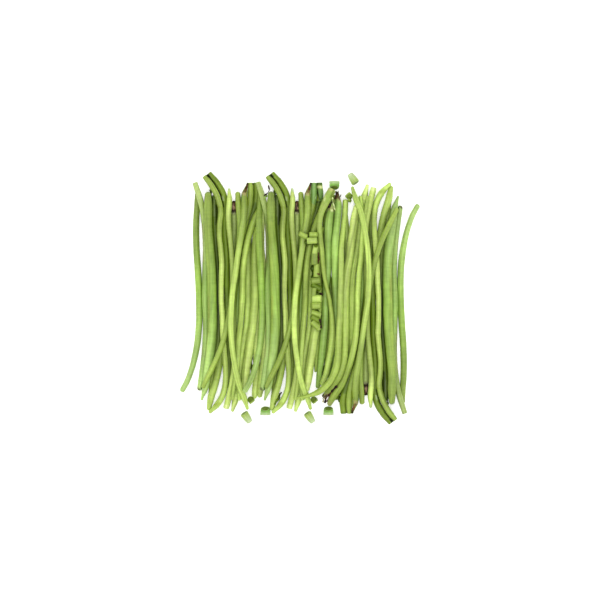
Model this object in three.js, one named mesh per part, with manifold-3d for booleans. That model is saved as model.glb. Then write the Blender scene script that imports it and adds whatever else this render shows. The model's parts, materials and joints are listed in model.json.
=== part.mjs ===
// A flat bunch of fresh yardlong beans, lying on its side as picked, in millimetres, +Z up.
// Three sheaves of long pods lie side by side, the right one turned end for end, and a few
// pods lie under the edges where they join. Four more pods lie along the join of the centre
// and right sheaves, and short lengths cut from such pods lie in the bunch and at its ends.
// Every pod is one curved, tapered solid, laid down in turn over the pods below it.
import * as THREE from 'three';
import Module from 'manifold-3d';
import { mergeVertices } from 'three/addons/utils/BufferGeometryUtils.js';

// Driving dimensions
const SHEAF_STEP = 75.6; // from the left sheaf to the centre one
const SHEAF_OFFSET = 87.6; // from the left sheaf's axis to the middle of the bunch
const TURNED_SHEAF = { x: 87, y: 0.6 }; // axis and middle of the sheaf that is turned end for end
const AIR = 0.4; // left between pods that lie on each other

// How finely the pods are faceted
const POD_SIDES = 8; // an even number, turned so that one facet faces straight down
const CUT_SIDES = 12; // the same for the short cut lengths
const CUT_FACET_DEPTH = Math.cos(Math.PI / CUT_SIDES); // a facet's distance from the axis over the radius
const RING_SPACING = 15.5;
const END_BEVEL = 1.2; // length of the rounded edge at a pod's end
const END_NARROWING = 0.72; // radius of the end face, as a share of the pod's radius there
const CUT_HOLD = 0.4; // how far in from its ends a cut length is held up, as a share of its radius

// How a pod sags. Weight over stiffness, for pods 6 to 11 mm thick that are limp but firm
const SAG = 5e-5;
const STEPS_A_SPAN = 3;
const SETTLING_ROUNDS = 3000;
const OVERSHOOT = 1.5; // speeds the settling up
const LIFTING_PASSES = 30;

const FRESH_SKIN = { roughness: 0.45, metalness: 0 };
const LIGHT = new THREE.Color('#b4cf69');
const GREEN = new THREE.Color('#94b85a');
const OLIVE = new THREE.Color('#8fa94f');
const BLUISH = new THREE.Color('#94bf7d');
const CUT_GREEN = new THREE.Color('#a9cb60');

// Pods of one sheaf, lowest first. Each point is [x, y, radius], with x from the sheaf's axis
// and y along the pods, from the end that is at the top in the left and centre sheaves. In
// those two, shortTop says how many points a pod is shorter by, where the next sheaf lies.
const sheafPods = [
  { // outermost pod, bent away at its lower end
    color: GREEN,
    route: [
      [-36, 127, 2.6], [-35.8, 118, 3.1], [-36.4, 105, 3.5], [-37.2, 88, 3.7], [-36.8, 60, 3.8],
      [-34.8, 30, 3.9], [-33.5, 0, 3.9], [-33.6, -30, 3.8], [-36.7, -60, 3.6], [-40, -75, 3.4],
      [-44.2, -90, 3.2], [-50.6, -105, 3.1], [-54.8, -112.2, 3],
    ],
  },
  { // low pod under the thick one
    color: OLIVE,
    route: [
      [-15.8, 124, 2.8], [-15, 112, 3.6], [-15, 90, 3.6], [-13.2, 60, 3.4], [-11, 30, 3.3],
      [-10.6, 0, 3.3], [-10.2, -30, 3.3], [-10.6, -52, 3.2], [-13.5, -68, 3.1], [-16.6, -86, 3.3],
      [-18.4, -100, 3.3], [-20.4, -115, 2],
    ],
  },
  { // short pod with a withered top
    color: OLIVE,
    route: [
      [8.3, 117, 2.4], [8.4, 111, 3], [8.3, 104, 3.2], [8.5, 88, 3.2], [8, 70, 3.1], [6, 50, 3],
      [3.8, 32, 3], [2.4, 12, 3], [1.8, -10, 3], [1.6, -35, 2.9], [1.6, -60, 2.8], [2.4, -78, 2.7],
      [2, -94, 2.5], [0.4, -108, 1.6],
    ],
  },
  { // low pod that crosses from the outer top to the inner foot
    color: GREEN,
    route: [
      [34.8, 138.6, 3.6], [35.6, 127.8, 4.2], [34.6, 115, 4.2], [31, 104, 4], [27.2, 92, 3.9],
      [25.6, 76, 3.9], [25.3, 60, 4.1], [25.2, 45, 4.1], [25.2, 30, 4.1], [25.2, 0, 4],
      [23.8, -28, 3.7], [21, -45, 3.5], [18.4, -60, 3.3], [16.4, -75, 3], [15.1, -90, 2.8],
      [13.2, -105, 3.2], [10.8, -118, 3.8], [8.8, -126.5, 3.5], [6, -136.2, 1.6],
    ],
  },
  { // short pod under the top one
    color: LIGHT,
    route: [
      [12.6, 127.8, 2.8], [13, 120, 3.5], [14.4, 105, 3.5], [15, 88, 3.1], [14, 72, 2.9],
      [13, 52, 2.8], [13.2, 30, 2.8], [12.8, 0, 2.8], [11.6, -28, 2.8], [10.8, -50, 2.8],
      [10.8, -70, 2.8], [11.4, -90, 2.8], [13.2, -106, 2.8], [15.4, -122.4, 2.4],
    ],
  },
  { // lower pod of the curved pair
    color: OLIVE,
    route: [
      [-22.2, 150, 3.3], [-16.8, 144.4, 3.6], [-12, 138, 3.8], [-8.2, 132, 3.8], [-5, 125.4, 3.8],
      [-3, 117, 3.7], [-2.3, 105, 3.5], [-2.9, 88, 3.5], [-2.6, 72, 3.7], [-1.4, 58, 3.7],
      [-0.6, 30, 3.5], [0.2, 0, 3.5], [-0.8, -24, 3.4], [-3.2, -46, 3.3], [-6.4, -64, 3.4],
      [-9.5, -80, 3.9], [-12, -94, 3.8], [-15.7, -108, 3.9], [-19.8, -121, 3.9], [-22, -134.4, 2.7],
    ],
  },
  { // pod that crosses under the top one
    color: LIGHT,
    route: [
      [28.1, 138.2, 3.3], [28.1, 127.8, 3.7], [27.8, 118, 3.6], [26, 105, 3.4], [22.4, 90, 3.4],
      [18.8, 75, 3.3], [15.8, 60, 3.2], [13.9, 45, 3.1], [12.2, 28, 3], [9.8, 12, 3], [8.3, -6, 3],
      [8, -26, 3], [8.6, -48, 3.1], [9, -66, 3.2], [8.4, -84, 3.2], [5.4, -104, 3.3],
      [1.8, -120, 3.4], [-1.2, -131.6, 3.5],
    ],
  },
  { // pod between the outermost and the thick one
    color: GREEN,
    route: [
      [-38.6, 138.6, 3], [-36, 130.2, 3.2], [-32.6, 120, 3.4], [-29.2, 106, 3.4], [-27, 90, 3.4],
      [-26, 75, 3.4], [-25.4, 60, 3.5], [-25.4, 42, 3.9], [-25.9, 25, 3.9], [-26.2, 0, 3.7],
      [-25.4, -30, 3.4], [-26.4, -58, 3.4], [-28.2, -75, 3.3], [-30.4, -91, 3.2], [-33.5, -110.6, 2.9],
    ],
  },
  { // thickest pod
    color: GREEN,
    route: [
      [-22.8, 127.6, 3.3], [-22.7, 122, 4.7], [-22.8, 106, 4.9], [-22.9, 90, 4.9], [-20.8, 60, 5.2],
      [-18.6, 30, 5.4], [-18, 0, 5.4], [-17.6, -30, 5.6], [-19, -56, 5.5], [-21.4, -75, 5.2],
      [-23.6, -90, 4.8], [-26, -106, 3.9], [-30.8, -122.4, 1],
    ],
  },
  { // upper pod of the curved pair, hooked at its foot
    color: LIGHT,
    route: [
      [-27, 146.4, 3], [-22.4, 140.4, 3.2], [-18.7, 135.2, 3.2], [-15, 129, 3.2],
      [-11.2, 120.5, 3.2], [-8.6, 112, 3.2], [-7.7, 104, 3.2], [-9, 90, 3.2], [-9.3, 76, 3.1],
      [-7.7, 60, 3.1], [-6.2, 42, 3.1], [-6.8, 22, 3], [-6.8, 0, 3.1], [-5.5, -20, 3.2],
      [-4.7, -44, 3.2], [-3, -68, 3.2], [-1.4, -88, 3.3], [-2.2, -104, 3.3], [-5, -115.6, 3.4],
      [-10, -125, 3.5], [-16.4, -132.2, 3], [-21.4, -137.4, 1.8],
    ],
  },
  { // long pod that leans out at the top
    color: LIGHT,
    shortTop: 3,
    route: [
      [53, 129.2, 2.9], [50.9, 122.6, 3.9], [46, 116, 4.2], [40.4, 108, 4.2], [34.8, 98.4, 4.1],
      [30.4, 86.4, 4], [26, 74, 3.8], [22.8, 60, 3.6], [20.4, 45, 3.5], [18.9, 30, 3.4], [18, 0, 3.4],
      [16.3, -28, 3.3], [14, -50, 3], [13, -70, 2.8], [11.2, -90, 2.6], [8.6, -106, 2.2], [6.2, -122, 1.4],
    ],
  },
  { // pod with a pointed top, which crosses over to the outer side
    color: LIGHT,
    route: [
      [2.4, 132, 1.5], [3.1, 124.6, 2.7], [2.8, 116, 3.2], [1.9, 104, 3.1], [2.2, 88, 3.1], [3.6, 74, 3.1],
      [5, 60, 3.1], [6.2, 44, 3.1], [6.7, 28, 3.1], [6.4, 13, 3.1], [5, -2, 3.1], [3, -17, 3.1],
      [0.6, -31, 3.1], [-3, -46, 3.1], [-7.8, -61, 3.1], [-13.6, -75.4, 3.1], [-20.6, -89.4, 3.1],
      [-26.4, -101, 3.1], [-29.4, -107.6, 2.4],
    ],
  },
  { // thick pod at the inner side, with a withered top
    color: LIGHT,
    shortTop: 4,
    route: [
      [60, 118.8, 1.8], [55, 113, 3.1], [49.5, 106.8, 3.4], [43.2, 98.4, 3.8], [38, 86.4, 3.9],
      [35, 74.4, 4], [33.4, 60, 4.1], [33, 42, 4.3], [33.2, 22, 4.5], [33.4, 0, 4.7], [32.4, -18, 4.7],
      [30.6, -34, 4.7], [28.2, -48, 4.8], [26.6, -62, 5], [24.2, -76, 5], [22.2, -92, 4.8],
      [20.6, -104, 4.2], [19.8, -111.4, 2.8],
    ],
  },
  { // topmost pod, with a withered top
    color: LIGHT,
    route: [
      [25, 138.6, 1], [23.2, 133, 1.4], [21, 127.4, 2.6], [20.8, 120, 3.9], [21, 106, 3.8],
      [19.4, 90, 3.5], [16.8, 75, 3.4], [14.4, 60, 3.3], [12.2, 45, 3.2], [10, 29, 3.1],
      [7.6, 14, 3.1], [6.1, 0, 3.1], [5.2, -18, 3.1], [4.9, -36, 3.1], [5.9, -54, 3.1],
      [8.4, -73, 3.1], [11.4, -90, 3.1], [15.5, -106, 3.2], [20.3, -118, 3.2],
      [23.4, -128, 2.6], [24.7, -133.2, 1.8],
    ],
  },
];

// Pods under the joins of the sheaves, lowest of all, from the bunch's middle. Those of one
// group cross on the surface and are joined there.
const underPods = [
  {
    name: 'under_beans_left',
    color: LIGHT,
    routes: [
      [
        [-50.6, 62, 1.6], [-50.4, 44, 2.6], [-50, 25, 2.8], [-49.8, 5, 2.8], [-50.2, -15, 2.9],
        [-51.8, -35, 3.2], [-52.8, -55, 3.6], [-52.6, -72, 3.8], [-52.4, -88, 3.6],
        [-53.6, -104, 3.5], [-54.6, -115, 3.2], [-55, -120.4, 2.4],
      ],
      [
        [-44.6, 111, 1.6], [-45, 104, 2.7], [-45.4, 90, 2.8], [-45.8, 76, 2.8], [-45.8, 60, 2.8],
        [-44.6, 46, 3], [-43.4, 30, 3.1], [-43, 10, 3.1], [-42.8, -10, 3.2], [-42.8, -30, 3.3],
        [-42.8, -50, 3.4], [-43.6, -70, 3.6], [-45.4, -88, 3.8], [-47.2, -104, 3.8],
        [-48.2, -113, 3.4], [-48.8, -119, 2.4],
      ],
    ],
  },
  {
    name: 'under_beans_middle',
    color: OLIVE,
    routes: [
      [
        [33, 119, 2.2], [32, 106, 3.2], [30, 88, 3.2], [29.2, 68, 3.1], [30, 50, 3], [33.2, 32, 2.9],
        [36.2, 15, 2.8], [36.8, -4, 2.8], [36, -24, 2.8], [35, -42, 2.8], [33.6, -60, 2.8],
        [31.8, -78, 2.6], [29.8, -95, 1.4],
      ],
      [
        [41.2, 124, 1.8], [41.4, 116, 2.8], [41.2, 104, 3.2], [40.2, 90, 3.2], [39.2, 72, 3],
        [37.6, 52, 2.9], [34, 34, 2.8], [28.6, 17, 2.9], [25.8, -4, 3], [23.8, -28, 3],
        [21.8, -48, 3], [20.2, -66, 2.9], [19.2, -79, 2.5], [18.6, -88.6, 1.4],
      ],
    ],
  },
  {
    name: 'under_bean_right',
    color: OLIVE,
    routes: [[
      [53.4, 109, 2.2], [54.4, 98, 3.1], [55.4, 84, 3.3], [56, 70, 3.3], [56, 55, 3.2],
      [55.4, 40, 3.1], [55.4, 20, 3], [56.4, 0, 3], [57.8, -20, 3], [58.4, -40, 3],
      [58, -60, 3], [55.4, -80, 3], [50.6, -98, 3.2], [45.8, -112, 3.4], [42.2, -121.6, 2.9],
    ]],
  },
];

// Pods along the join of the centre and right sheaves, lowest first, from the bunch's middle
const joinPods = [
  { // broad-topped pod with a thin stalk
    color: BLUISH,
    route: [
      [38.6, 121.8, 0.8], [38, 114, 1.2], [36.8, 108, 3.2], [35.6, 102, 4.4], [34.5, 94, 4.6],
      [33.6, 82, 4.3], [33.8, 66, 4.2], [33.7, 45, 4.2], [32.8, 30, 4], [31, 15, 3.6],
      [30.2, 0, 3.6], [30, -15, 3.8], [29.4, -30, 4.1], [28.3, -45, 4.2], [27, -60, 4.1],
      [25.2, -75, 3.8], [23.2, -90, 3.4], [21.4, -101, 3.2], [21, -108, 2.4],
    ],
  },
  { // pod with a withered top
    color: BLUISH,
    route: [
      [44.2, 128, 1.6], [44.9, 122.6, 2.4], [45.6, 117, 3.7], [45.6, 106, 3.9], [44, 90, 4],
      [42.4, 75, 4], [41.6, 60, 4], [41.6, 45, 4], [41.8, 22, 3.9], [42.3, 0, 3.8],
      [43.2, -30, 3.4], [43, -50, 3.1], [40.8, -75, 3], [37.8, -90, 2.8], [34.8, -96.6, 2.2],
    ],
  },
  { // pod that crosses over the bluish ones
    color: LIGHT,
    route: [
      [38, 129.6, 4.8], [35.4, 124.2, 5.2], [32, 118, 4.8], [28.8, 111.6, 4.3], [25.8, 104.4, 3.8],
      [23.5, 95.4, 3.4],
      [23, 85.8, 3.1], [23.8, 74, 3], [25.4, 62, 2.9], [26.8, 45, 2.8], [28.4, 30, 2.6],
      [31.2, 15, 2.4], [34.7, 0, 2.4], [37.2, -15, 2.8], [38.4, -30, 3.3], [38.8, -45, 3.8],
      [37.4, -60, 3.9], [34.3, -75, 3.7], [31.2, -90, 3.6], [28.6, -97.8, 3.5], [25, -104.4, 3],
    ],
  },
  { // longest pod, drawn out at its foot into a thin stalk across the centre sheaf
    color: LIGHT,
    route: [
      [54.4, 118.8, 3.2], [53.8, 105, 3.3], [52.1, 90, 3.1], [50.2, 75, 3.1], [49.2, 60, 3.1],
      [49.1, 45, 3.1], [49, 30, 3.1], [48.6, 15, 3.2], [48, 0, 3.3], [47.8, -15, 3.4],
      [47, -30, 3.5], [46.1, -45, 3.6], [45.6, -60, 3.8], [44.4, -75, 4], [42.2, -84.6, 4],
      [39.6, -92.6, 3.9], [35, -99.8, 3.7], [28.8, -106.2, 3.7], [22, -112.2, 3.6], [15, -115.4, 2.4],
      [7.2, -116.6, 1.9], [0, -117.6, 1.5], [-4.2, -119.2, 1.1],
    ],
  },
];

// Short cut lengths. angle is the direction of the axis from +X, in degrees, and the cuts are
// how far each end leans back over the length, as run over rise: first the tail's, then the head's.
const sheafCuts = [
  {
    name: 'bias_cut_piece',
    isPropped: true,
    x: 29.2,
    y: -122.6,
    angle: -50,
    length: 4.8,
    radius: 3.6,
    cuts: [0.9, 0],
  },
  {
    name: 'cut_tip',
    x: 23.9,
    y: -143.2,
    angle: -56,
    length: 13.4,
    radius: 5.1,
    taper: 0.68,
    cuts: [0.25, 0],
  },
  {
    name: 'thick_cut_piece',
    x: 45.9,
    y: -136,
    angle: 90,
    length: 8,
    radius: 6.4,
    taper: 0.85,
    cuts: [0, 0.5],
  },
];

// The three lengths at the top of the row lie on each other, and so do all that follow
const rowCuts = {
  row_pieces_top: [
    { x: 3.6, y: 75.4, angle: -25, length: 11, radius: 3.4, cuts: [0.2, 0.1] },
    { x: 14, y: 69, angle: 4, length: 12, radius: 4.2, cuts: [0, 0.2] },
    { x: 15.6, y: 76.2, angle: 0, length: 9.6, radius: 3.2, cuts: [0.1, 0.3] },
  ],
  row_pieces_below: [
    { x: 17.8, y: 58, angle: 80, length: 10.4, radius: 3.5, cuts: [0, 0.9] },
    { x: 17, y: 47, angle: 90, length: 14.4, radius: 4, cuts: [0.1, 0.1] },
    { x: 19.4, y: 33, angle: 88, length: 16, radius: 3.6, cuts: [0.2, 0] },
    { x: 18.6, y: 21, angle: 6, length: 11, radius: 4.4, cuts: [0.1, 0.2] },
    { x: 19.2, y: 13.8, angle: -31, length: 12.6, radius: 3.7, cuts: [0.2, 0] },
    { x: 16.2, y: 6.6, angle: 84, length: 12, radius: 3.3, cuts: [0, 0] },
    { x: 19.8, y: -0.4, angle: 0, length: 11.6, radius: 4.8, cuts: [0.1, 0.3] },
    { x: 19, y: -8.8, angle: 2, length: 11.6, radius: 4.8, cuts: [0.3, 0.1] },
    { x: 18.8, y: -18.2, angle: -20, length: 11, radius: 3.6, cuts: [0, 0.4] },
    { x: 18.4, y: -24.4, angle: -31, length: 12, radius: 3.7, cuts: [0.2, 0.3] },
    { x: 18.6, y: -32, angle: -44, length: 12.6, radius: 4.1, cuts: [0, 0.5] },
  ],
};
const ROW_STEP = 2.2; // most that a length of the row lies lower than its neighbour
const EDGE_ROOM = 0.8; // lift that keeps the sharp edges of the row's cuts off the pods

// Distance in plan from a point to a span of a laid pod, with the pod's height and radius there
function spanBelow(x, y, from, to) {
  const dx = to.x - from.x;
  const dy = to.y - from.y;
  const along = ((x - from.x) * dx + (y - from.y) * dy) / (dx * dx + dy * dy);
  const t = THREE.MathUtils.clamp(along, 0, 1);
  return {
    distance: Math.hypot(x - from.x - t * dx, y - from.y - t * dy),
    z: THREE.MathUtils.lerp(from.z, to.z, t),
    radius: THREE.MathUtils.lerp(from.radius, to.radius, t),
    steepness: Math.hypot(1, (to.z - from.z) / Math.hypot(dx, dy)),
  };
}

// Lowest height at which a ball of this radius clears the surface and everything laid so far
function restingHeight(x, y, radius, laid, facetDepth) {
  let height = radius * facetDepth;
  for (const rings of laid) {
    for (let i = 0; i + 1 < rings.length; i += 1) {
      const below = spanBelow(x, y, rings[i], rings[i + 1]);
      const reach = radius + below.radius + AIR;
      if (below.distance < reach) {
        const rise = Math.sqrt(reach * reach - below.distance * below.distance);
        height = Math.max(height, below.z + rise * below.steepness);
      }
    }
  }
  return height;
}

// Rings of a pod in plan: evenly spaced along its route, with radii between those of the points
function planRings(route) {
  const curve = new THREE.CatmullRomCurve3(
    route.map(([x, y]) => new THREE.Vector3(x, y, 0)),
    false,
    'centripetal',
  );
  const spans = Math.round(curve.getLength() / RING_SPACING);
  return Array.from({ length: spans + 1 }, (_, i) => {
    const t = curve.getUtoTmapping(i / spans);
    const place = t * (route.length - 1);
    const before = Math.min(Math.floor(place), route.length - 2);
    const point = curve.getPoint(t);
    const radius = THREE.MathUtils.lerp(route[before][2], route[before + 1][2], place - before);
    return { x: point.x, y: point.y, z: 0, radius };
  });
}

// Height that a pod needs at a place along it, where whole numbers are its rings
function neededHeight(rings, place, laid) {
  const i = Math.min(Math.floor(place), rings.length - 2);
  const share = place - i;
  const x = THREE.MathUtils.lerp(rings[i].x, rings[i + 1].x, share);
  const y = THREE.MathUtils.lerp(rings[i].y, rings[i + 1].y, share);
  const radius = THREE.MathUtils.lerp(rings[i].radius, rings[i + 1].radius, share);
  return restingHeight(x, y, radius, laid, Math.cos(Math.PI / POD_SIDES));
}

// Lets a pod sag like a thin beam under its own weight until it lies on what is below it
function settle(rings, laid) {
  const steps = (rings.length - 1) * STEPS_A_SPAN;
  const weight = SAG * (RING_SPACING / STEPS_A_SPAN) ** 4;
  const needed = Array.from({ length: steps + 1 }, (_, step) => Math.max(
    ...[-0.5, 0, 0.5].map((offset) => {
      const place = THREE.MathUtils.clamp((step + offset) / STEPS_A_SPAN, 0, rings.length - 1);
      return neededHeight(rings, place, laid);
    }),
  ));
  const z = [...needed];
  for (let round = 0; round < SETTLING_ROUNDS; round += 1) {
    for (let i = 0; i <= steps; i += 1) {
      let pull = weight;
      let stiffness = 0;
      for (let middle = Math.max(i - 1, 1); middle <= Math.min(i + 1, steps - 1); middle += 1) {
        const share = middle === i ? -2 : 1;
        pull += share * (z[middle - 1] - 2 * z[middle] + z[middle + 1]);
        stiffness += share * share;
      }
      z[i] = Math.max(needed[i], z[i] - (OVERSHOOT * pull) / stiffness);
    }
  }
  rings.forEach((ring, i) => {
    ring.z = z[i * STEPS_A_SPAN];
  });
  // The straight spans between rings clear what is below them too
  for (let pass = 0; pass < LIFTING_PASSES; pass += 1) {
    for (let step = 0; step < steps; step += 1) {
      const i = Math.floor(step / STEPS_A_SPAN);
      const share = step / STEPS_A_SPAN - i;
      const lack = needed[step] - (1 - share) * rings[i].z - share * rings[i + 1].z;
      if (lack > 0) {
        const lift = lack / ((1 - share) ** 2 + share ** 2);
        rings[i].z += (1 - share) * lift;
        rings[i + 1].z += share * lift;
      }
    }
  }
  return rings;
}

// A closed solid through a row of loops that have the same number of points each
function loft(loops) {
  const sides = loops[0].length;
  const positions = loops.flat().flatMap((point) => point.toArray());
  const triangles = [];
  for (let ring = 0; ring + 1 < loops.length; ring += 1) {
    for (let side = 0; side < sides; side += 1) {
      const a = ring * sides + side;
      const b = ring * sides + ((side + 1) % sides);
      triangles.push(a, b + sides, b, a, a + sides, b + sides);
    }
  }
  const last = (loops.length - 1) * sides;
  for (let side = 1; side + 1 < sides; side += 1) {
    triangles.push(0, side, side + 1);
    triangles.push(last, last + side + 1, last + side);
  }
  const geometry = new THREE.BufferGeometry();
  geometry.setAttribute('position', new THREE.Float32BufferAttribute(positions, 3));
  geometry.setIndex(triangles);
  geometry.computeVertexNormals();
  return geometry;
}

// Rings near an end stand inside its first or last span, to round the edge of the end face
function withBevels(rings) {
  const between = (from, to, length) => {
    const span = Math.hypot(to.x - from.x, to.y - from.y, to.z - from.z);
    const share = length / span;
    return {
      x: THREE.MathUtils.lerp(from.x, to.x, share),
      y: THREE.MathUtils.lerp(from.y, to.y, share),
      z: THREE.MathUtils.lerp(from.z, to.z, share),
      radius: THREE.MathUtils.lerp(from.radius, to.radius, share),
    };
  };
  const [first, second] = rings;
  const [lastButOne, last] = rings.slice(-2);
  return [
    { ...first, radius: first.radius * END_NARROWING },
    between(first, second, END_BEVEL),
    ...rings.slice(1, -1),
    between(last, lastButOne, END_BEVEL),
    { ...last, radius: last.radius * END_NARROWING },
  ];
}

function podGeometry(settledRings) {
  const rings = withBevels(settledRings);
  const centres = rings.map((ring) => new THREE.Vector3(ring.x, ring.y, ring.z));
  const up = new THREE.Vector3(0, 0, 1);
  const loops = centres.map((centre, i) => {
    const before = centres[Math.max(i - 1, 0)];
    const after = centres[Math.min(i + 1, centres.length - 1)];
    const tangent = after.clone().sub(before).normalize();
    const across = tangent.clone().cross(up).normalize();
    const upright = across.clone().cross(tangent);
    return Array.from({ length: POD_SIDES }, (_, side) => {
      const angle = ((side + 0.5) / POD_SIDES) * 2 * Math.PI;
      return centre
        .clone()
        .addScaledVector(across, rings[i].radius * Math.cos(angle))
        .addScaledVector(upright, rings[i].radius * Math.sin(angle));
    });
  });
  return loft(loops);
}

// A short length lies level, and each of its cuts leans back over it by its share of the height
function cutGeometry({ x, y, z, angle, length, radius, taper = 1, cuts: [tailCut, headCut] }) {
  const loopAt = (along, ringRadius, lean) => Array.from({ length: CUT_SIDES }, (_, side) => {
    const turn = ((side + 0.5) / CUT_SIDES) * 2 * Math.PI;
    const height = ringRadius * Math.sin(turn);
    return new THREE.Vector3(along - lean * height, -ringRadius * Math.cos(turn), height);
  });
  const geometry = loft([
    loopAt(-length / 2, radius, -tailCut),
    loopAt(length / 2, radius * taper, headCut),
  ]);
  geometry.rotateZ(THREE.MathUtils.degToRad(angle));
  return geometry.translate(x, y, z);
}

// Height at which a cut length lies on what is below, taken near its ends and at its middle
function restingCutHeight(cut, laid) {
  const turn = THREE.MathUtils.degToRad(cut.angle);
  const reach = cut.length / 2 - CUT_HOLD * cut.radius;
  const heights = [-1, -0.5, 0, 0.5, 1].map((share) => {
    const x = cut.x + share * reach * Math.cos(turn);
    const y = cut.y + share * reach * Math.sin(turn);
    return restingHeight(x, y, cut.radius, laid, CUT_FACET_DEPTH);
  });
  return Math.max(...heights);
}

// Lengths that lie against each other in a row hold each other up, to within a step of height
function withSteps(heights) {
  return heights.map((height, i) => Math.max(
    ...heights.map((other, j) => other - ROW_STEP * Math.abs(j - i)),
  ));
}

const wasm = await Module();
wasm.setup();

function toSolid(geometry) {
  const bare = geometry.clone();
  bare.deleteAttribute('normal');
  const merged = mergeVertices(bare);
  return new wasm.Manifold(new wasm.Mesh({
    numProp: 3,
    vertProperties: new Float32Array(merged.getAttribute('position').array),
    triVerts: new Uint32Array(merged.getIndex().array),
  }));
}

function joined(geometries) {
  const mesh = geometries.map(toSolid).reduce((sum, solid) => sum.add(solid)).getMesh();
  const geometry = new THREE.BufferGeometry();
  geometry.setAttribute('position', new THREE.BufferAttribute(new Float32Array(mesh.vertProperties), 3));
  geometry.setIndex(new THREE.BufferAttribute(new Uint32Array(mesh.triVerts), 1));
  geometry.computeVertexNormals();
  return geometry;
}

function namedMesh(name, geometry, color) {
  const mesh = new THREE.Mesh(geometry, new THREE.MeshStandardMaterial({ color, ...FRESH_SKIN }));
  mesh.name = name;
  return mesh;
}

const sheaves = [
  { name: 'left', place: ([x, y, r]) => [x - SHEAF_OFFSET, y, r] },
  { name: 'centre', place: ([x, y, r]) => [x - SHEAF_OFFSET + SHEAF_STEP, y, r] },
  { name: 'right', place: ([x, y, r]) => [TURNED_SHEAF.x - x, TURNED_SHEAF.y - y, r], isTurned: true },
];

const bunch = new THREE.Group();
const laid = [];

function layPod(name, { color, route }) {
  const rings = settle(planRings(route), laid);
  laid.push(rings);
  bunch.add(namedMesh(name, podGeometry(rings), color));
}

for (const { name, color, routes } of underPods) {
  const pods = routes.map((route) => settle(planRings(route), laid));
  laid.push(...pods);
  bunch.add(namedMesh(name, joined(pods.map(podGeometry)), color));
}
for (const sheaf of sheaves) {
  sheafPods.forEach(({ color, shortTop = 0, route }, i) => {
    const shown = sheaf.isTurned ? route : route.slice(shortTop);
    const number = String(i + 1).padStart(2, '0');
    layPod(`${sheaf.name}_bean_${number}`, { color, route: shown.map(sheaf.place) });
  });
}
joinPods.forEach((pod, i) => layPod(`join_bean_${i + 1}`, pod));

for (const sheaf of sheaves) {
  for (const cut of sheafCuts) {
    const [x, y] = sheaf.place([cut.x, cut.y]);
    const angle = sheaf.isTurned ? cut.angle + 180 : cut.angle;
    const placed = { ...cut, x, y, angle };
    const z = cut.isPropped ? restingCutHeight(placed, laid) : cut.radius * CUT_FACET_DEPTH;
    const geometry = cutGeometry({ ...placed, z });
    bunch.add(namedMesh(`${sheaf.name}_${cut.name}`, geometry, CUT_GREEN));
  }
}
for (const [name, cuts] of Object.entries(rowCuts)) {
  const heights = withSteps(cuts.map((cut) => restingCutHeight(cut, laid)));
  const geometries = cuts.map((cut, i) => cutGeometry({ ...cut, z: heights[i] + EDGE_ROOM }));
  bunch.add(namedMesh(name, joined(geometries), CUT_GREEN));
}

// The origin is under the middle of the bunch, on the surface that it lies on
const box = new THREE.Box3().setFromObject(bunch);
const middle = box.getCenter(new THREE.Vector3());
bunch.position.set(-middle.x, -middle.y, -box.min.z);

export default bunch;
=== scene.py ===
"""Yardlong bean bunch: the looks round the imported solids, in metres."""
import json
import math

import bpy
import numpy as np
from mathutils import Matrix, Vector
from mathutils.bvhtree import BVHTree


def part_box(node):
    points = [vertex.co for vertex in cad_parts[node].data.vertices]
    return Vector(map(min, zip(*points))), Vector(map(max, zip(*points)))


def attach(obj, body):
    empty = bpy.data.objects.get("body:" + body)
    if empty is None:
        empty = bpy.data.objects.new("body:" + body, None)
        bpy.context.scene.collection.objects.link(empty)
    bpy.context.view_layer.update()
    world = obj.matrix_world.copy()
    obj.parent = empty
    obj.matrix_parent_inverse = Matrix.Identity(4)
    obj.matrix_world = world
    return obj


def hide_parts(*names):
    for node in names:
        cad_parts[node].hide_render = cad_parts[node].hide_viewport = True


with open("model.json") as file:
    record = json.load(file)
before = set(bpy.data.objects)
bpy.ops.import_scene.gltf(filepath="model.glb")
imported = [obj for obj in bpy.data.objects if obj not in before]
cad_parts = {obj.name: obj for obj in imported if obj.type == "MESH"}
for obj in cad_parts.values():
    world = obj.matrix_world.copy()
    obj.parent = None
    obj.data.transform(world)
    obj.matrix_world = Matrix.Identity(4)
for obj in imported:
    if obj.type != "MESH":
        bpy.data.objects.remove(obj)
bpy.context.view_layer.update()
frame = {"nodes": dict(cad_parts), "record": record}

MM = 0.001
UP = np.array([0.0, 0.0, 1.0])
LOWEST = 0.05 * MM  # nothing comes nearer to the surface than this

SKIN_GROWTH = 0.2 * MM  # the skins stand this far out of the solids, to close the gaps in them
LEVEL_LIGHT = 1.39  # light on a level face in the open, where 1 would show a colour as it is

# Seeds of the random draws, to which each piece's number is added
POD_SEED, SHEAF_CUT_SEED, ROW_CUT_SEED = 100, 500, 600
ROW_SHADE_SEED, REMAINS_SEED, GAP_SHADE_SEED = 690, 700, 750
PHASE_END = 6.28  # random phases run from 0 to this
PATTERN_SHIFT = 9  # the most that a piece's patterns are moved by, in metres

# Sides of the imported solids
POD_SIDES_IN_SOLID = 8
CUT_SIDES_IN_SOLID = 12

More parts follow.
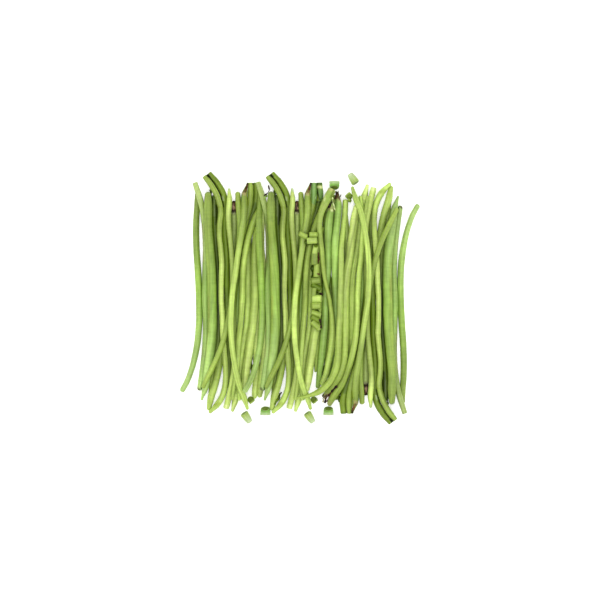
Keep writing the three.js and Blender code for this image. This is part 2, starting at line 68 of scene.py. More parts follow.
# As in the part's source, in mm: how far the bunch is moved to its origin, the axis of each
# sheaf, the middle about which the right sheaf is turned, and the routes of the pods that are
# joined where they cross, each as (x, y, radius)
BUNCH_SHIFT = np.array([0.3, -0.3])
SHEAF_AXES = {"left": -87.6, "centre": -12.0, "right": 87.0}
TURNED_MIDDLE = 0.6
UNDER_ROUTES = {
    "under_beans_left": [
        [
            (-50.6, 62, 1.6), (-50.4, 44, 2.6), (-50, 25, 2.8), (-49.8, 5, 2.8), (-50.2, -15, 2.9),
            (-51.8, -35, 3.2), (-52.8, -55, 3.6), (-52.6, -72, 3.8), (-52.4, -88, 3.6),
            (-53.6, -104, 3.5), (-54.6, -115, 3.2), (-55, -120.4, 2.4),
        ],
        [
            (-44.6, 111, 1.6), (-45, 104, 2.7), (-45.4, 90, 2.8), (-45.8, 76, 2.8),
            (-45.8, 60, 2.8), (-44.6, 46, 3), (-43.4, 30, 3.1), (-43, 10, 3.1),
            (-42.8, -10, 3.2), (-42.8, -30, 3.3), (-42.8, -50, 3.4), (-43.6, -70, 3.6),
            (-45.4, -88, 3.8), (-47.2, -104, 3.8), (-48.2, -113, 3.4), (-48.8, -119, 2.4),
        ],
    ],
    "under_beans_middle": [
        [
            (33, 119, 2.2), (32, 106, 3.2), (30, 88, 3.2), (29.2, 68, 3.1), (30, 50, 3),
            (33.2, 32, 2.9), (36.2, 15, 2.8), (36.8, -4, 2.8), (36, -24, 2.8), (35, -42, 2.8),
            (33.6, -60, 2.8), (31.8, -78, 2.6), (29.8, -95, 1.4),
        ],
        [
            (41.2, 124, 1.8), (41.4, 116, 2.8), (41.2, 104, 3.2), (40.2, 90, 3.2), (39.2, 72, 3),
            (37.6, 52, 2.9), (34, 34, 2.8), (28.6, 17, 2.9), (25.8, -4, 3), (23.8, -28, 3),
            (21.8, -48, 3), (20.2, -66, 2.9), (19.2, -79, 2.5), (18.6, -88.6, 1.4),
        ],
    ],
}

# Colours of fresh skin, as screen values. The first two are painted shade: the forest green of the
# dark strips in the gaps between pods, and the deep shade of a pod that lies low.
FOREST_SHADE = (76, 98, 6)
SHADE = (56, 76, 4)
MOSS = (98, 122, 18)
OLIVE = (118, 140, 44)
DULL = (134, 155, 72)
GREEN = (148, 181, 82)
LEAF = (153, 175, 82)
HAY = (164, 182, 110)
FRESH = (172, 194, 102)
LIGHT = (186, 210, 112)
PALE = (197, 217, 124)
BRIGHT = (214, 233, 138)
BLUISH = (148, 179, 94)
TEAL = (154, 186, 98)
MEADOW = (172, 199, 120)
SEA = (122, 158, 90)
GRASS = (124, 174, 66)
# Colours of marks on the skin, and of threads and strips. The first three are painted shade, dark
# where pods meet or where one lies under another.
BLACK_GREEN_SHADE = (34, 48, 8)
DEEP_GREEN_SHADE = (66, 92, 14)
BOTTLE_SHADE = (66, 96, 40)
OLIVE_YELLOW = (140, 158, 44)
GREY_GREEN = (128, 142, 98)
PALE_GREY = (184, 200, 156)
MINT = (206, 228, 178)
RUST = (126, 110, 50)
BEIGE = (190, 180, 128)
ROSY = (178, 160, 118)
CREAM = (232, 242, 178)
DEAD = (54, 38, 26)
RUSSET = (96, 62, 38)
ASH = (150, 126, 110)
SOOT = (96, 84, 70)
DRY = (DEAD, RUSSET, ASH, SOOT)  # marks and threads of these colours are withered

# How each pod looks. tints are its colours at the top, the middle and the foot, ends says how
# the top and the foot are shaped, and plump is how far the seeds stand out, in mm. A mark is
# its colour, its two ends as (x, y) in mm on the sheaf's own axis, its half width in mm and
# its strength. These are the same in all three sheaves.
POD_LOOKS = {
    "bean_01": dict(tints=(DULL, GREEN, MEADOW), ends=("round", "round"), plump=0.10),
    # bean_02 lies low under other pods: its darkest tint is painted shade, and so are its
    # black-green marks
    "bean_02": dict(tints=(MOSS, SHADE, LEAF), ends=("round", "round"), plump=0.14, marks=[
        (BLACK_GREEN_SHADE, (-18, 123), (-18.6, 113), 1.4, 0.8),
        (BLACK_GREEN_SHADE, (-13.2, 111), (-13.2, 89), 1.5, 0.7),
        (GREY_GREEN, (-15.6, 118), (-15.6, 99), 1.2, 0.5),
    ]),
    "bean_03": dict(tints=(HAY, OLIVE, DULL), ends=("round", "round"), plump=0.14, marks=[
        (DEAD, (7.8, 118), (8.2, 105), 4.2, 1.0),
        (RUSSET, (8.2, 114), (7.6, 108), 1.9, 0.8),
        (ASH, (7.4, 112.6), (7.2, 107.6), 1.1, 0.9),
        (ROSY, (9.2, 110), (9.5, 107.4), 0.6, 0.7),
        (DEAD, (5, 104.6), (11.4, 104.6), 1.1, 1.0),
        (CREAM, (6, 102), (10.8, 102), 1.0, 0.45),
    ]),
    "bean_04": dict(tints=(OLIVE, LIGHT, PALE), ends=("cut", "round"), plump=0.16, marks=[
        # painted shade at the top of bean_04, where it meets bean_07
        (BOTTLE_SHADE, (31.2, 138.6), (37, 138.6), 1.4, 0.5),
        # painted shade where bean_04 runs under other pods
        (DEEP_GREEN_SHADE, (33.6, 112), (27, 92), 3.2, 0.55),
        (CREAM, (8, -128), (6, -136), 2.2, 0.15),
    ]),
    "bean_05": dict(tints=(LEAF, GREEN, LIGHT), ends=("round", "round"), plump=0.14, marks=[
        (OLIVE_YELLOW, (11, 129), (15, 128.6), 1.2, 0.4),
    ]),
    "bean_06": dict(tints=(OLIVE, MOSS, FRESH), ends=("cut", "round"), plump=0.14, marks=[
        # The black-green marks of bean_06 are painted shade, in the gap that runs down between it
        # and bean_10
        (BLACK_GREEN_SHADE, (-25, 150), (-21.6, 145.6), 1.9, 1.0),
        (BLACK_GREEN_SHADE, (-22.6, 147), (-15, 137), 1.1, 0.85),
        (BLACK_GREEN_SHADE, (-15, 137), (-8.2, 124.6), 1.0, 0.75),
        (BLACK_GREEN_SHADE, (-8.2, 124.6), (-4, 110), 0.9, 0.75),
        (PALE_GREY, (-5, 121.5), (-4.2, 117.5), 1.0, 0.6),
    ]),
    "bean_07": dict(tints=(LEAF, MOSS, PALE), ends=("cut", "cut"), plump=0.16, marks=[
        (DEAD, (31.8, 138.6), (31.3, 136.4), 0.9, 0.8),
        (OLIVE_YELLOW, (25, 128), (25, 112), 1.0, 0.6),
        (CREAM, (-3.6, -129), (1, -130.6), 2.2, 0.4),
    ]),
    "bean_08": dict(tints=(HAY, BLUISH, MEADOW), ends=("cut", "round"), plump=0.12, marks=[
        (OLIVE_YELLOW, (-27.6, 113), (-25.6, 88), 1.1, 0.7),
        (ROSY, (-29.6, 88), (-28.4, 44), 1.1, 0.35),
        (ROSY, (-29.8, -56), (-30.6, -70), 1.2, 0.3),
        (SOOT, (-35, -108), (-32.6, -112), 1.6, 0.7),
        # painted shade at the foot of bean_08
        (BOTTLE_SHADE, (-31, -105), (-30.6, -112), 0.9, 0.8),
    ]),
    "bean_09": dict(tints=(DULL, GREEN, MEADOW), ends=("round", "round"), plump=0.12, marks=[
        (GREY_GREEN, (-26.5, 128), (-19, 129), 2.6, 0.6),
        (SOOT, (-22, 131), (-18, 129.4), 1.0, 0.5),
        (RUST, (-21.8, 2), (-21.8, -23), 0.9, 0.7),
        (LEAF, (-23.2, 90), (-22.6, -40), 2.6, 0.6),
        (ROSY, (-24.8, -44), (-26.8, -68), 1.5, 0.45),
    ]),
    "bean_10": dict(tints=(LEAF, PALE, LIGHT), ends=("cut", "round"), plump=0.16, marks=[
        # painted shade: the black-green mark is the dark gap between the tops of bean_10 and
        # bean_06
        (BLACK_GREEN_SHADE, (-25.4, 149.6), (-22.4, 146), 1.3, 0.9),
        (OLIVE_YELLOW, (-11, 109.4), (-5, 108.6), 1.0, 0.5),
        (OLIVE_YELLOW, (-14, -128), (-10, -126), 2.0, 0.5),
        # painted shade in the gap at the foot of bean_10
        (DEEP_GREEN_SHADE, (-19, -130), (-15.6, -126), 1.2, 0.5),
    ]),
    "bean_11": dict(tints=(LEAF, LIGHT, FRESH), ends=("round", "round"), plump=0.20, marks=[
        (ROSY, (54.4, 127), (50, 126), 1.6, 0.5),
    ]),
    "bean_12": dict(tints=(PALE, DULL, LEAF), ends=("round", "round"), plump=0.16, marks=[
        (PALE_GREY, (2.4, 134), (2.8, 129), 1.6, 0.7),
    ]),
    "bean_13": dict(tints=(LEAF, FRESH, BRIGHT), ends=("round", "round"), plump=0.20, marks=[
        (DEAD, (62, 119), (59, 116.6), 1.6, 0.9),
        (ROSY, (59, 119), (55, 115), 1.6, 0.5),
    ]),
    "bean_14": dict(tints=(DULL, LIGHT, LIGHT), ends=("round", "round"), plump=0.18, marks=[
        (DEAD, (25.8, 139.4), (22.6, 131), 1.5, 1.0),
        (RUSSET, (24.6, 134), (21.4, 127.6), 1.7, 0.85),
        (SOOT, (19.2, 128), (18.4, 125), 0.9, 0.6),
        (ROSY, (18, 125.6), (21.8, 124.4), 1.7, 0.6),
        (OLIVE_YELLOW, (24, 126), (24.2, 112), 0.9, 0.5),
        # painted shadow along the left edge of bean_14's top
        (BOTTLE_SHADE, (17.2, 125), (16.8, 116), 0.9, 0.8),
    ]),
    "join_bean_1": dict(tints=(BLUISH, BLUISH, BLUISH), ends=("round", "round"), plump=0.14, marks=[
        (BEIGE, (33.6, 109), (39, 107), 3.0, 0.55),
        (CREAM, (37.8, 105.4), (38.2, 105), 1.4, 0.8),
    ]),
    "join_bean_2": dict(tints=(TEAL, TEAL, BLUISH), ends=("round", "round"), plump=0.12, marks=[
        (DEAD, (43.6, 129), (43.4, 121), 1.7, 0.9),
        (RUSSET, (46, 126), (46.6, 119.6), 1.7, 0.8),
        (ASH, (47.6, 122), (47.8, 119), 1.0, 0.7),
        (BEIGE, (45, 118), (48, 117), 1.4, 0.5),
    ]),
    "join_bean_3": dict(tints=(FRESH, LEAF, LIGHT), ends=("cut", "round"), plump=0.16, marks=[
        (BEIGE, (33.6, 130.6), (43.6, 129), 1.4, 0.7),
        (MOSS, (36.6, 120.6), (40.4, 129.6), 1.2, 0.7),
        (GREEN, (35, 126), (31.6, 116), 2.0, 0.6),
        (CREAM, (29.4, 126), (29, 117), 1.0, 0.5),
    ]),
    "join_bean_4": dict(tints=(LIGHT, FRESH, LEAF), ends=("round", "round"), plump=0.16, marks=[
        (OLIVE_YELLOW, (51, 118), (51.4, 109), 0.9, 0.6),
    ]),
    "under_beans_left": dict(tints=(PALE, PALE, PALE), ends=("round", "round"), plump=0.14),
    "under_beans_middle": dict(tints=(LEAF, MOSS, LEAF), ends=("round", "round"), plump=0.14),
    "under_bean_right": dict(tints=(LIGHT, OLIVE, OLIVE), ends=("round", "round"), plump=0.14),
}

# Marks that a pod has in one sheaf and not in the others
OWN_MARKS = {
    "centre_bean_04": [
        # painted shade on this pod's top, where it meets its neighbour
        (BOTTLE_SHADE, (31.6, 137.6), (37.4, 137.4), 1.8, 0.8),
        (CREAM, (33.6, 133.4), (37.4, 133), 1.6, 0.7),
        (SEA, (36, 128), (38.6, 118), 3.4, 0.9),
        # painted shade: the black-green marks are the dark gaps beside and below this pod's top
        (BLACK_GREEN_SHADE, (31.2, 132.6), (35.4, 118.2), 0.9, 0.8),
        (BLACK_GREEN_SHADE, (29, 115.6), (37.4, 115.4), 1.0, 0.8),
    ],
    "centre_bean_07": [
        (SEA, (28, 139), (29.4, 116), 4.0, 0.95),
        (MINT, (33, 124), (31, 120), 0.9, 0.6),
    ],
}

# Cut lengths, in mm: the middle, the direction in degrees, the length, the radius at the tail,
# the taper to the head and the lean of the two cuts. skin is the colour of the side at the
# tail and the head, faces are the colours of the two cuts, and rim is the colour round them.
SHEAF_CUTS = {
    "bias_cut_piece": dict(
        x=29.2, y=-122.6, angle=-50, length=4.8, radius=3.6, cuts=(0.9, 0),
        skin=(DULL, LEAF), faces=(DULL, DULL), rim=MOSS,
    ),
    "cut_tip": dict(
        x=23.9, y=-143.2, angle=-56, length=13.4, radius=5.1, taper=0.68, cuts=(0.25, 0),
        skin=(LEAF, PALE_GREY), faces=(DULL, MINT), rim=MINT,
    ),
    "thick_cut_piece": dict(
        x=45.9, y=-136, angle=90, length=8, radius=6.4, taper=0.85, cuts=(0, 0.5),
        skin=(PALE_GREY, GRASS), faces=(MINT, OLIVE), rim=PALE_GREY,
    ),
}
ROW_CUTS = {
    "row_pieces_top": [
        dict(x=3.6, y=75.4, angle=-25, length=11, radius=3.4, cuts=(0.2, 0.1)),
        dict(x=14, y=69, angle=4, length=12, radius=4.2, cuts=(0, 0.2)),
        dict(x=15.6, y=76.2, angle=0, length=9.6, radius=3.2, cuts=(0.1, 0.3)),
    ],
    "row_pieces_below": [
        dict(x=17.8, y=58, angle=80, length=10.4, radius=3.5, cuts=(0, 0.9)),
        dict(x=17, y=47, angle=90, length=14.4, radius=4, cuts=(0.1, 0.1)),
        dict(x=19.4, y=33, angle=88, length=16, radius=3.6, cuts=(0.2, 0)),
        dict(x=18.6, y=21, angle=6, length=11, radius=4.4, cuts=(0.1, 0.2)),
        dict(x=19.2, y=13.8, angle=-31, length=12.6, radius=3.7, cuts=(0.2, 0)),
        dict(x=16.2, y=6.6, angle=84, length=12, radius=3.3, cuts=(0, 0)),
        dict(x=19.8, y=-0.4, angle=0, length=11.6, radius=4.8, cuts=(0.1, 0.3)),
        dict(x=19, y=-8.8, angle=2, length=11.6, radius=4.8, cuts=(0.3, 0.1)),
        dict(x=18.8, y=-18.2, angle=-20, length=11, radius=3.6, cuts=(0, 0.4)),
        dict(x=18.4, y=-24.4, angle=-31, length=12, radius=3.7, cuts=(0.2, 0.3)),
        dict(x=18.6, y=-32, angle=-44, length=12.6, radius=4.1, cuts=(0, 0.5)),
    ],
}
# The colours of the side and of the cut at the head, for each length of the row
ROW_SKINS = {
    "row_pieces_top": ((LEAF, FRESH), (FRESH, LIGHT), (LEAF, FRESH)),
    "row_pieces_below": (
        (FRESH, OLIVE), (DULL, DULL), (LEAF, FRESH), (DULL, LEAF), (MOSS, GREEN), (DULL, DULL),
        (LIGHT, FRESH), (LEAF, LEAF), (LEAF, PALE), (OLIVE, LEAF), (LEAF, PALE),
    ),
}
ROW_GAP = 0.3  # mm by which the skins of the row's lengths are thinner than the solids


def linear(colour):
    """Screen values from 0 to 255 as linear light."""
    share = np.asarray(colour, float) / 255
    return np.where(share <= 0.04045, share / 12.92, ((share + 0.055) / 1.055) ** 2.4)


def surface(colour):
    """The colour of a surface that shows as these screen values in this light."""
    return linear(colour) / LEVEL_LIGHT


def unit(vectors):
    """The same vectors with a length of 1."""
    return vectors / np.linalg.norm(vectors, axis=-1, keepdims=True)


def eased(share):
    """A share from 0 to 1 that starts and ends gently."""
    share = np.clip(share, 0, 1)
    return share * share * (3 - 2 * share)


# ---- Camera, floor and light ----
FRAME_WIDTH = 0.720
FRAME_MIDDLE = (0.0001, -0.0023)
CAMERA_HEIGHT = 5.0
SENSOR_WIDTH = 36
CLIP_END = 50

camera_data = bpy.data.cameras.new("camera")
camera_data.sensor_width = SENSOR_WIDTH
camera_data.lens = camera_data.sensor_width * CAMERA_HEIGHT / FRAME_WIDTH
camera_data.clip_end = CLIP_END
camera = bpy.data.objects.new("camera", camera_data)
camera.location = (*FRAME_MIDDLE, CAMERA_HEIGHT)
bpy.context.collection.objects.link(camera)
bpy.context.scene.camera = camera
bpy.context.scene.view_settings.view_transform = "Standard"
bpy.context.scene.view_settings.look = "Medium High Contrast"


def add_mesh(name, points, faces):
    """An object with smooth faces."""
    mesh = bpy.data.meshes.new(name)
    mesh.from_pydata([tuple(p) for p in points], [], [tuple(f) for f in faces])
    mesh.polygons.foreach_set("use_smooth", [True] * len(mesh.polygons))
    piece = bpy.data.objects.new(name, mesh)
    bpy.context.collection.objects.link(piece)
    return piece


def add_softbox(name, place, width, depth, power):
    """A soft light that faces the middle of the bunch."""
    data = bpy.data.lights.new(name, "AREA")
    data.shape = "RECTANGLE"
    data.size = width
    data.size_y = depth
    data.energy = power
    light = bpy.data.objects.new(name, data)
    light.location = place
    light.rotation_euler = (-Vector(place)).to_track_quat("-Z", "Y").to_euler()
    bpy.context.collection.objects.link(light)


# Each has its place, width and depth in metres, and its power in watts
add_softbox("softbox_left", (-1.5, 0.1, 1.1), 0.8, 0.8, 6)
add_softbox("softbox_right", (1.5, 0.1, 1.1), 0.8, 0.8, 5)
add_softbox("softbox_above", (0, 0.01, 6.5), 1.2, 7.0, 220)
WORLD_STRENGTH = 0.90
world = bpy.data.worlds.new("studio")
bpy.context.scene.world = world
world.use_nodes = True
world.node_tree.nodes["Background"].inputs["Color"].default_value = (1, 1, 1, 1)
world.node_tree.nodes["Background"].inputs["Strength"].default_value = WORLD_STRENGTH

FLOOR_HALF = 8.0
PAPER_WHITE = 0.9
PAPER_ROUGHNESS = 0.9
PAPER_GLOW = 0.12
floor = add_mesh(
    "floor",
    [(-FLOOR_HALF, -FLOOR_HALF, 0), (FLOOR_HALF, -FLOOR_HALF, 0),
     (FLOOR_HALF, FLOOR_HALF, 0), (-FLOOR_HALF, FLOOR_HALF, 0)],
    [(0, 1, 2, 3)],
)
paper = bpy.data.materials.new("paper")
paper.use_nodes = True
paper_shader = paper.node_tree.nodes["Principled BSDF"]
paper_shader.inputs["Base Color"].default_value = (PAPER_WHITE, PAPER_WHITE, PAPER_WHITE, 1)
paper_shader.inputs["Roughness"].default_value = PAPER_ROUGHNESS
paper_shader.inputs["Specular IOR Level"].default_value = 0.0
paper_shader.inputs["Emission Color"].default_value = (1, 1, 1, 1)
paper_shader.inputs["Emission Strength"].default_value = PAPER_GLOW
floor.data.materials.append(paper)


# ---- Materials ----
class Nodes:
    """Short calls for the nodes of one material."""

    def __init__(self, name):
        self.material = bpy.data.materials.new(name)
        self.material.use_nodes = True
        self.tree = self.material.node_tree
        self.shader = self.tree.nodes["Principled BSDF"]

    def add(self, kind, **settings):
        node = self.tree.nodes.new(kind)
        for key, value in settings.items():
            setattr(node, key, value)
        return node

    def link(self, source, target):
        self.tree.links.new(source, target)

    def attribute(self, name, output="Vector"):
        return self.add("ShaderNodeAttribute", attribute_name=name).outputs[output]

    def stretched(self, vector, factors):
        node = self.add("ShaderNodeVectorMath", operation="MULTIPLY")
        self.link(vector, node.inputs[0])
        node.inputs[1].default_value = factors
        return node.outputs[0]

    def noise(self, vector, factors, detail=3):
        node = self.add("ShaderNodeTexNoise")
        self.link(self.stretched(vector, factors), node.inputs["Vector"])
        node.inputs["Scale"].default_value = 1
        node.inputs["Detail"].default_value = detail
        return node.outputs["Fac"]

    def ranged(self, value, low, high, to_low=0.0, to_high=1.0):
        node = self.add("ShaderNodeMapRange")
        self.link(value, node.inputs["Value"])
        limits = {"From Min": low, "From Max": high, "To Min": to_low, "To Max": to_high}
        for key, number in limits.items():
            node.inputs[key].default_value = number
        return node.outputs["Result"]

    def maths(self, operation, a, b):
        node = self.add("ShaderNodeMath", operation=operation)
        for socket, value in zip(node.inputs, (a, b)):
            if isinstance(value, (int, float)):
                socket.default_value = value
            else:
                self.link(value, socket)
        return node.outputs[0]

    def mixed(self, factor, a, b, blend="MIX"):
        node = self.add("ShaderNodeMix", data_type="RGBA", blend_type=blend)
        sockets = (node.inputs[0], node.inputs[6], node.inputs[7])
        for socket, value in zip(sockets, (factor, a, b)):
            if isinstance(value, (int, float)):
                socket.default_value = value
            elif isinstance(value, tuple):
                socket.default_value = (*surface(value), 1)
            else:
                self.link(value, socket)
        return node.outputs[2]

    def grey(self, value):
        node = self.add("ShaderNodeCombineColor")
        for socket in node.inputs:
            self.link(value, socket)
        return node.outputs[0]

    def bump(self, height, strength, distance, below=None):
        node = self.add("ShaderNodeBump")
        node.inputs["Strength"].default_value = strength
        node.inputs["Distance"].default_value = distance
        self.link(height, node.inputs["Height"])
        if below is not None:
            self.link(below, node.inputs["Normal"])
        return node.outputs["Normal"]


# How finely each pattern repeats, in waves a metre: twice across the skin and once along it
STREAKS = (480, 480, 40)
BANDS = (60, 60, 420)
PATCHES = (90, 90, 30)
SPECKS = (900, 900, 500)
ROT = (520, 520, 240)
PORES = (1800, 1800, 500)
FLESH_GRAIN = (1100, 1100, 1100)
SUTURE_GREEN = (116, 136, 44)
SPECK_BROWN = (124, 116, 62)
WHOLLY = 1.0
SUTURE_SHARE = 0.40
SPECK_SHARE = 0.30
WITHERED_ROUGHNESS = 0.35
WAX_SPECULAR, FLESH_SPECULAR = 0.28, 0.2
FLESH_ROUGHNESS = 0.55
SKIN_GLOW = 0.12
GLOW_REACH = (0.5, 1.0, 0.2)
GLOW_SCALE = 2 * MM


def skin_material(name):
    """Waxy pod skin. The mesh gives its tint, its place on the skin, and its marks: x is how
    withered it is and y how near it is to a suture."""
    n = Nodes(name)
    skin = n.attribute("skin")
    marks = n.add("ShaderNodeSeparateXYZ")
    n.link(n.attribute("marks"), marks.inputs[0])
    withered, suture, _ = marks.outputs
    streaks = n.noise(skin, STREAKS, 4)
    bands = n.noise(skin, BANDS)
    patches = n.noise(skin, PATCHES, 2)
    streak_shade = n.ranged(streaks, 0.25, 0.75, 0.80, 1.20)
    band_shade = n.ranged(bands, 0.3, 0.7, 0.92, 1.08)
    shade = n.maths("MULTIPLY", streak_shade, band_shade)
    shade = n.maths("MULTIPLY", shade, n.ranged(patches, 0.3, 0.7, 0.86, 1.14))
    colour = n.mixed(WHOLLY, n.attribute("tint", "Color"), n.grey(shade), "MULTIPLY")
    colour = n.mixed(n.maths("MULTIPLY", suture, SUTURE_SHARE), colour, SUTURE_GREEN)
    specks = n.noise(skin, SPECKS, 2)
    colour = n.mixed(n.ranged(specks, 0.70, 0.78, 0, SPECK_SHARE), colour, SPECK_BROWN)
    rot = n.noise(skin, ROT, 4)
    dead = n.mixed(WHOLLY, colour, n.grey(n.ranged(rot, 0.38, 0.66, 0.45, 1.9)), "MULTIPLY")
    colour = n.mixed(withered, colour, dead)
    n.link(colour, n.shader.inputs["Base Color"])
    roughness = n.ranged(streaks, 0.2, 0.8, 0.36, 0.50)
    roughness = n.maths("ADD", roughness, n.maths("MULTIPLY", withered, WITHERED_ROUGHNESS))
    n.link(roughness, n.shader.inputs["Roughness"])
    n.shader.inputs["Specular IOR Level"].default_value = WAX_SPECULAR
    n.shader.inputs["Subsurface Weight"].default_value = SKIN_GLOW
    n.shader.inputs["Subsurface Radius"].default_value = GLOW_REACH
    n.shader.inputs["Subsurface Scale"].default_value = GLOW_SCALE
    bumpy = n.bump(n.noise(skin, PORES), 0.25, 0.25 * MM)
    bumpy = n.bump(bands, 0.35, 0.4 * MM, bumpy)
    n.link(bumpy, n.shader.inputs["Normal"])
    return n.material


def flesh_material(name):
    """Moist flesh on a cut."""
    n = Nodes(name)
    grain = n.noise(n.attribute("skin"), FLESH_GRAIN, 4)
    shade = n.grey(n.ranged(grain, 0.3, 0.7, 0.75, 1.15))
    colour = n.mixed(WHOLLY, n.attribute("tint", "Color"), shade, "MULTIPLY")
    n.link(colour, n.shader.inputs["Base Color"])
    n.shader.inputs["Roughness"].default_value = FLESH_ROUGHNESS
    n.shader.inputs["Specular IOR Level"].default_value = FLESH_SPECULAR
    n.link(n.bump(grain, 0.4, 0.4 * MM), n.shader.inputs["Normal"])
    return n.material


SLOTS = ("light_pod_skin", "green_pod_skin", "olive_pod_skin", "bluish_pod_skin", "cut_length")
SKINS = {slot: skin_material(slot + "_look") for slot in SLOTS}
CUT_FLESH = flesh_material("cut_flesh_look")
SLOT_OF = {row["node"]: row["material_slot"] for row in frame["record"]["subparts"]}


def finish_piece(piece, node, tint, skin, marks):
    """Gives a piece its colours, its material and its place in the frame."""
    opaque_tint = np.column_stack([tint, np.ones(len(tint))])
    for key, kind, channel, values in (
        ("tint", "FLOAT_COLOR", "color", opaque_tint),
        ("skin", "FLOAT_VECTOR", "vector", skin),
        ("marks", "FLOAT_VECTOR", "vector", marks),
    ):
        attribute = piece.data.attributes.new(key, kind, "POINT")
        attribute.data.foreach_set(channel, np.ascontiguousarray(values, np.float32).ravel())
    piece.data.materials.append(SKINS[SLOT_OF[node]])
    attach(piece, "root")
    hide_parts(node)


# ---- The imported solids' rings ----
def merged(node):
    """Points and faces of a node's mesh, with the points at one place made one."""
    mesh = frame["nodes"][node].data
    corners = np.array([v.co for v in mesh.vertices])
    points, index = np.unique(np.round(corners, 6), axis=0, return_inverse=True)
    return points, index.ravel()[np.array([tuple(p.vertices) for p in mesh.polygons])]


FLAT_COSINE = 0.9999  # faces whose normals agree by this much are one flat end
ROUND_SPREAD = 0.03  # how far the points of an end may differ in distance from its middle


def end_faces(points, faces, sides):
    """The two flat ends of a lofted solid, each as the set of its points."""
    corners = points[faces]
    normals = unit(np.cross(corners[:, 1] - corners[:, 0], corners[:, 2] - corners[:, 0]))
    touching = {}
    for i, face in enumerate(faces):
        for point in face:
            touching.setdefault(point, []).append(i)
    found = []
    for seed in range(len(faces)):
        patch, queue = {seed}, [seed]
        while queue and len(patch) < sides:
            for point in faces[queue.pop()]:
                for other in touching[point]:
                    flat = normals[other] @ normals[seed] > FLAT_COSINE
                    if other not in patch and flat:
                        patch.add(other)
                        queue.append(other)
        ring = set(int(p) for i in patch for p in faces[i])
        if len(patch) != sides - 2 or len(ring) != sides or ring in found:
            continue
        reach = np.linalg.norm(points[list(ring)] - points[list(ring)].mean(0), axis=1)
        if np.ptp(reach) < ROUND_SPREAD * reach.mean():
            found.append(ring)
    return found


def rings_of(node, sides=POD_SIDES_IN_SOLID):
    """Centres and radii of a pod's rings, from the end with the higher y."""
    points, faces = merged(node)
    near = {}
    for face in faces:
        for point in face:
            near.setdefault(int(point), set()).update(int(p) for p in face)
    ends = end_faces(points, faces, sides)
    layer = max(ends, key=lambda ring: points[list(ring)][:, 1].mean())
    seen, centres, radii = set(), [], []
    while layer:
        if len(layer) != sides:
            raise ValueError(f"{node} has a ring of {len(layer)} points")
        ring = points[list(layer)]
        centres.append(ring.mean(0))
        radii.append(np.linalg.norm(ring - ring.mean(0), axis=1).mean())
        seen |= layer
        layer = set().union(*(near[p] for p in layer)) - seen
    radii[0], radii[-1] = radii[1], radii[-2]
    return np.array(centres), np.array(radii)


def rings_of_route(route):
    """The same for a route of the source whose pod lies on the surface."""
    table = np.array(route, float)
    plan = (table[:, :2] + BUNCH_SHIFT) * MM
    radii = table[:, 2] * MM
    heights = radii * math.cos(math.pi / POD_SIDES_IN_SOLID)
    return np.column_stack([plan, heights]), radii


def through(values, knots, at):
    """A smooth curve through values at knots, read at other places."""
    values = np.asarray(values, float)
    slopes = np.gradient(values, knots, axis=0)
    i = np.clip(np.searchsorted(knots, at) - 1, 0, len(knots) - 2)
    width = knots[i + 1] - knots[i]
    t = np.clip((at - knots[i]) / width, 0, 1)
    if values.ndim == 2:
        t, width = t[:, None], width[:, None]
    rise = values[i + 1] - values[i]
    bend_a = slopes[i] * width - rise
    bend_b = rise - slopes[i + 1] * width
    return values[i] + t * rise + t * (1 - t) * ((1 - t) * bend_a + t * bend_b)


# ---- Tubes ----
def tube_faces(rings, sides):
    """Four-sided faces between a tube's rings."""
    faces = []
    for ring in range(rings - 1):
        a = ring * sides
        for side in range(sides):
            b = (side + 1) % sides
            faces.append((a + side, a + b, a + sides + b, a + sides + side))
    return faces


def cap_faces(rings, sides):
    """Fans that close a tube's two ends, on two points after its own."""
    head, tail, last = rings * sides, rings * sides + 1, (rings - 1) * sides
    faces = []
    for side in range(sides):
        after = (side + 1) % sides
        faces.append((head, after, side))
        faces.append((tail, last + side, last + after))
    return faces


def with_ends(values):
    """Values of a tube's points, with one more for the middle of each end."""
    flat = values.reshape(-1, values.shape[-1])
    return np.vstack([flat, values[0].mean(0), values[-1].mean(0)])


RING_PITCH = 1.3 * MM
END_RINGS = 6


def along_stops(length, first, last):
    """Places along a pod, closer together in the rounding of its ends."""
    turns = np.linspace(0, math.pi / 2, END_RINGS, endpoint=False)
    head = first * (1 - np.cos(turns))
    tail = length - last * (1 - np.cos(turns))
    count = max(2, int((length - first - last) / RING_PITCH))
    return np.concatenate([head, np.linspace(first, length - last, count), tail[::-1]])


def wavy(rng, along, turn, waves=7):
    """A smooth random height for each place on a tube, without a seam."""
    total = np.zeros((len(along), len(turn)))
    for _ in range(waves):
        turns = rng.integers(2, 7)
        start = rng.uniform(0, PHASE_END)
        drift = np.sin(along / (rng.uniform(9, 26) * MM) + rng.uniform(0, PHASE_END))
        phase = start + 3 * drift
        swell = 0.5 + 0.5 * np.sin(along / (rng.uniform(7, 30) * MM) + rng.uniform(0, PHASE_END))
        total += swell[:, None] * np.cos(turns * turn[None, :] + phase[:, None]) / waves
    return total


# ---- Pods ----
def in_table_places(node, plan):
    """Places in plan on the axis of the node's sheaf, in mm, as the marks are given."""
    places = plan / MM - BUNCH_SHIFT
    sheaf = node.split("_")[0]
    if sheaf not in SHEAF_AXES:
        return places
    axis = np.array([SHEAF_AXES[sheaf], 0])
    if sheaf == "right":
        return axis + [0, TURNED_MIDDLE] - places
    return places - axis


MARK_EDGE = 1.35  # where a mark ends, in half widths
MARK_BLUR = 0.7  # how wide its soft edge is, in half widths


def covers(places, marks):
    """Each mark's colour, and how much of it there is at each place."""
    for colour, start, end, half_width, strength in marks:
        start, span = np.array(start, float), np.subtract(end, start)
        share = np.clip(((places - start) @ span) / max(span @ span, 1e-6), 0, 1)
        distance = np.linalg.norm(places - start - share[..., None] * span, axis=-1)
        inside = MARK_EDGE * half_width - distance
        yield colour, strength * eased(inside / (MARK_BLUR * half_width))


laid_points, laid_faces = [], []


